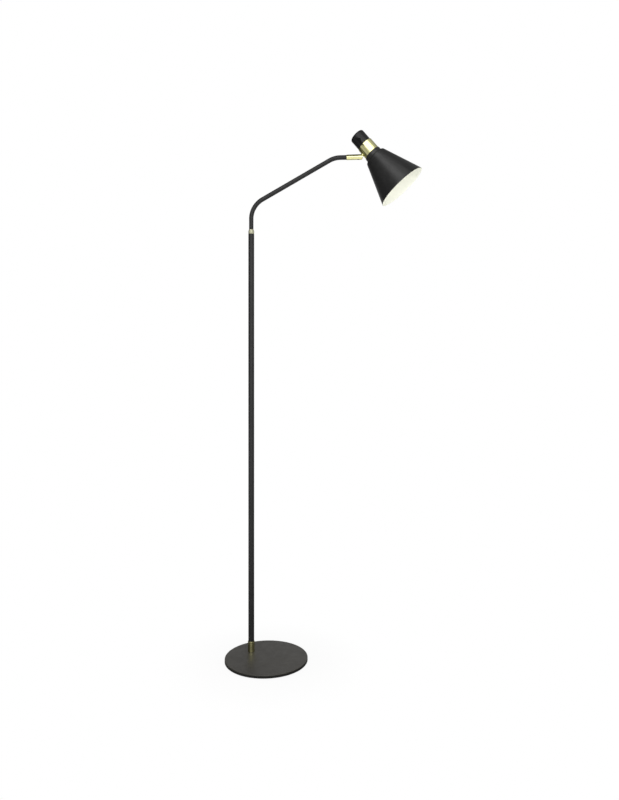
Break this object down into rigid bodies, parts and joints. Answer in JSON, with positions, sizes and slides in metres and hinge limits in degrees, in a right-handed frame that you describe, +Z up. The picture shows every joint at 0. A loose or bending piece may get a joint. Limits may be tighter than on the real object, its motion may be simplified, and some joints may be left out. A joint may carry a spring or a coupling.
{
  "type": "adjustable arm floor lamp",
  "caption": "Floor lamp: round foot, slim upright, bent arm that swivels, and a conical shade that tilts on a forked brass knuckle.",
  "frame": {"origin": "centre of the round foot, on the plane that the lamp stands on", "axes": "+Z up along the upright; +X the way the arm reaches at rest; +Y to the left of the arm"},
  "size_m": [0.5279, 0.222, 1.4289],
  "materials": {
    "black_base": "satin black powder coat on steel plate",
    "black_tube": "satin black powder coat on steel tube",
    "black_shade": "satin black lacquer outside; the shade is white enamel inside",
    "brass": "polished and lacquered",
    "steel": "zinc plated",
    "nickel": "nickel plated, bright",
    "felt": "black needled felt",
    "rubber": "matt",
    "black_nylon": "moulded, fine matt",
    "pale_nylon": "natural nylon",
    "bakelite": "moulded, semi-gloss",
    "black_glass": "vitreous insulator",
    "white_plastic": "moulded white",
    "opal": "opal diffuser, satin"
  },
  "bodies": {
    "stand": {"base_pad": "felt", "base_plate": "black_base", "foot_screw": "steel", "foot_plug": "steel", "foot_collar": "brass", "pole_tube": "black_tube", "cable_gland": "black_nylon", "pole_ferrule": "brass", "lower_bush": "pale_nylon"},
    "arm": {"arm_tube": "black_tube", "swivel_stop_pin": "steel", "swivel_friction_ring": "rubber", "arm_sleeve": "brass", "pivot_screw": "brass", "pivot_washer_front": "pale_nylon", "pivot_washer_rear": "pale_nylon"},
    "head": {"hinge_tongue": "brass", "tongue_nut": "steel", "brass_band": "brass", "holder_cup": "black_shade", "holder_bracket": "steel", "holder_nipple": "steel", "nipple_nut": "steel", "lampholder_cap": "bakelite", "lampholder_insert": "bakelite", "lampholder_skirt": "bakelite", "thread_shell": "nickel", "centre_contact": "nickel", "shade": "black_shade", "shade_ring": "bakelite", "bulb_insulator": "black_glass", "bulb_cap": "nickel", "bulb_body": "white_plastic", "bulb_globe": "opal"}
  },
  "joints": [
    {"name": "arm_swivel", "type": "hinge", "parent": "stand", "child": "arm", "pos_m": [-0.04675, 0.03347, 1.155], "axis": [0, 0, 1], "range_deg": [-165, 165]},
    {"name": "head_tilt", "type": "hinge", "parent": "arm", "child": "head", "pos_m": [0.25136, 0.03347, 1.35825], "axis": [0, -1, 0], "range_deg": [-75, 45]}
  ]
}
